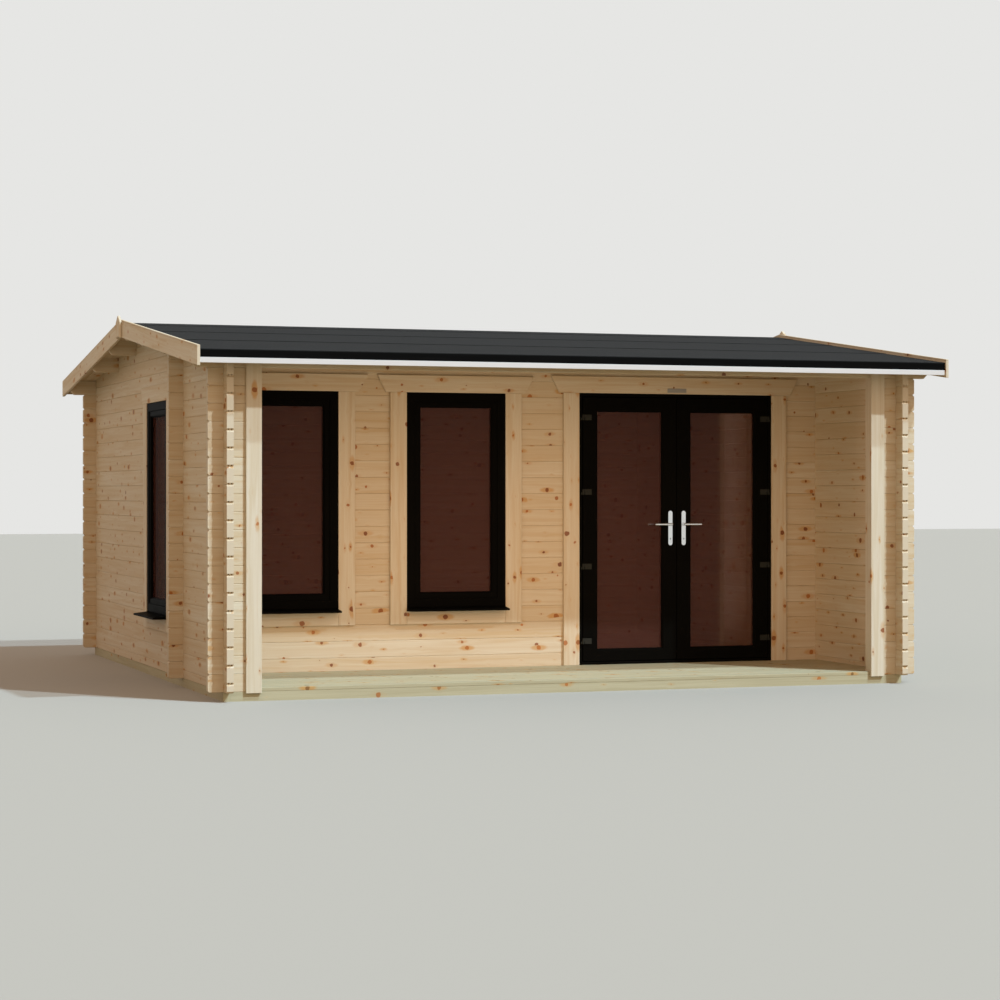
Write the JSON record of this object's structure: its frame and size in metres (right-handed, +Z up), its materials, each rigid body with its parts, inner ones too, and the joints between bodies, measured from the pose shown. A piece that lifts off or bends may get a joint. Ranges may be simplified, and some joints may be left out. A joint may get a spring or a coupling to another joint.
{
  "type": "log cabin",
  "caption": "Square cabin of interlocking planed logs, with a porch under a low gabled roof, dark windows and a pair of glazed doors that open outwards.",
  "frame": {"origin": "on the ground under the middle of the roof, which is also the middle of the walls' plan", "axes": "+X to the right of someone facing the porch, +Y from the porch to the rear wall, +Z up"},
  "size_m": [5.2788, 5.314, 2.5955],
  "materials": {
    "treated": "pressure-treated, sawn",
    "spruce": "planed, untreated",
    "felt": "matt sheet",
    "drip": "white",
    "frame": "satin black",
    "glazing": "brown tint",
    "hinge": "black",
    "handle": "bright silver"
  },
  "bodies": {
    "cabin": {"side_bearers": "treated", "front_bearers": "treated", "cross_bearers": "treated", "porch_deck": "treated", "room_floor": "spruce", "left_wall": "spruce", "right_wall": "spruce", "left_gable": "spruce", "right_gable": "spruce", "rear_wall": "spruce", "front_wall": "spruce", "front_wall_head": "spruce", "left_porch_return": "spruce", "right_porch_return": "spruce", "porch_posts": "spruce", "porch_beam": "spruce", "rear_eaves_beam": "spruce", "ridge_purlin": "spruce", "slope_purlins": "spruce", "front_roof_boards": "spruce", "rear_roof_boards": "spruce", "eaves_fascias": "spruce", "bargeboards": "spruce", "verge_caps": "spruce", "apex_plates": "spruce", "window_trims": "spruce", "door_trim": "spruce", "roof_felt": "felt", "drip_strips": "drip", "window_frames": "frame", "window_sashes": "frame", "window_sills": "frame", "door_frame": "frame", "window_glass": "glazing", "frame_hinges": "hinge"},
    "left_door": {"left_door_leaf": "frame", "left_door_glass": "glazing", "left_door_hinges": "hinge", "left_door_handles": "handle"},
    "left_lever": {"left_door_lever": "handle"},
    "right_door": {"right_door_leaf": "frame", "right_door_glass": "glazing", "right_door_hinges": "hinge", "right_door_handles": "handle"},
    "right_lever": {"right_door_lever": "handle"}
  },
  "joints": [
    {"name": "left_door_hinge", "type": "hinge", "parent": "cabin", "child": "left_door", "pos_m": [0.502, -1.169, 1.06], "axis": [0, 0, -1], "range_deg": [0, 90]},
    {"name": "left_lever_turn", "type": "hinge", "parent": "left_door", "child": "left_lever", "pos_m": [1.178, -1.135, 1.09], "axis": [0, -1, 0], "range_deg": [0, 45], "stiffness_Nm_per_rad": 1.2, "springref_deg": -34.38},
    {"name": "right_door_hinge", "type": "hinge", "parent": "cabin", "child": "right_door", "pos_m": [1.958, -1.169, 1.06], "axis": [0, 0, 1], "range_deg": [0, 90]},
    {"name": "right_lever_turn", "type": "hinge", "parent": "right_door", "child": "right_lever", "pos_m": [1.282, -1.135, 1.09], "axis": [0, 1, 0], "range_deg": [0, 45], "stiffness_Nm_per_rad": 1.2, "springref_deg": -34.38}
  ]
}
